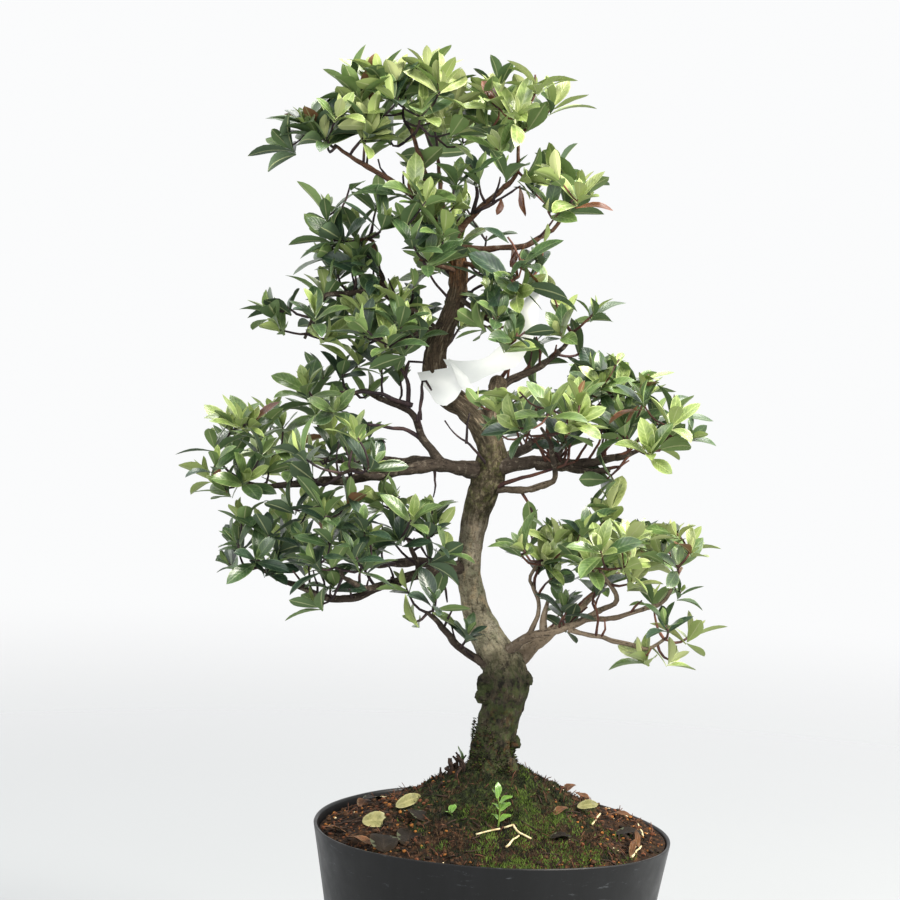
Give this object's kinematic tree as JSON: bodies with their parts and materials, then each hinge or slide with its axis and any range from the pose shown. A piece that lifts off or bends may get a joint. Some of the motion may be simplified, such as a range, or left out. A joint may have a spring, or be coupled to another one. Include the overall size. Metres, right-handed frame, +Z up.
{
  "type": "azalea bonsai",
  "caption": "Azalea bonsai with a winding trunk, tiered boughs and tufts of pointed leaves, standing in a round soft plastic training pot of mossy soil.",
  "frame": {"origin": "centre of the pot's flat underside", "axes": "+Z up along the tree, +X to the right in the picture, +Y away from the camera"},
  "size_m": [0.269, 0.1786, 0.5042],
  "materials": {
    "pot_plastic": "matte black",
    "soil": "crumbly, with moss",
    "trunk_bark": "fissured bark",
    "bough_bark": "thin bark",
    "tag_paper": "smooth, bare",
    "leaves": "soft sheen"
  },
  "bodies": {
    "root": {"bough_crown_left": "bough_bark", "bough_crown_right": "bough_bark", "bough_crown_right_riser": "bough_bark", "bough_foot_left": "bough_bark", "bough_low_left": "bough_bark", "bough_low_left_back": "bough_bark", "bough_low_left_front": "bough_bark", "bough_low_left_inner": "bough_bark", "bough_low_right": "bough_bark", "bough_low_right_back": "bough_bark", "bough_low_right_outer": "bough_bark", "bough_low_right_riser": "bough_bark", "bough_low_right_under": "bough_bark", "bough_mid_left": "bough_bark", "bough_mid_left_back": "bough_bark", "bough_mid_left_front": "bough_bark", "bough_mid_left_riser": "bough_bark", "bough_mid_right": "bough_bark", "bough_mid_right_back": "bough_bark", "bough_mid_right_low": "bough_bark", "bough_mid_right_top": "bough_bark", "bough_shoulder_left": "bough_bark", "bough_upper_left_riser": "bough_bark", "bough_upper_right": "bough_bark", "foliage_crown_back": "leaves", "foliage_crown_left": "leaves", "foliage_crown_right": "leaves", "foliage_crown_right_out": "leaves", "foliage_crown_top": "leaves", "foliage_foot_left": "leaves", "foliage_low_left_back": "leaves", "foliage_low_left_inner": "leaves", "foliage_low_left_mid": "leaves", "foliage_low_left_outer": "leaves", "foliage_low_right_back": "leaves", "foliage_low_right_inner": "leaves", "foliage_low_right_mid": "leaves", "foliage_low_right_outer": "leaves", "foliage_low_right_under": "leaves", "foliage_mid_left_back": "leaves", "foliage_mid_left_front": "leaves", "foliage_mid_left_outer": "leaves", "foliage_mid_left_up": "leaves", "foliage_mid_right_back": "leaves", "foliage_mid_right_front": "leaves", "foliage_mid_right_outer": "leaves", "foliage_mid_right_top": "leaves", "foliage_right_shoulder": "leaves", "foliage_shoulder_back": "leaves", "foliage_shoulder_inner": "leaves", "foliage_shoulder_left": "leaves", "foliage_upper_back": "leaves", "foliage_upper_inner": "leaves", "foliage_upper_left": "leaves", "foliage_upper_right": "leaves", "foliage_upper_right_low": "leaves", "paper_tag": "tag_paper", "pot": "pot_plastic", "soil": "soil", "trunk": "trunk_bark"}
  },
  "joints": []
}
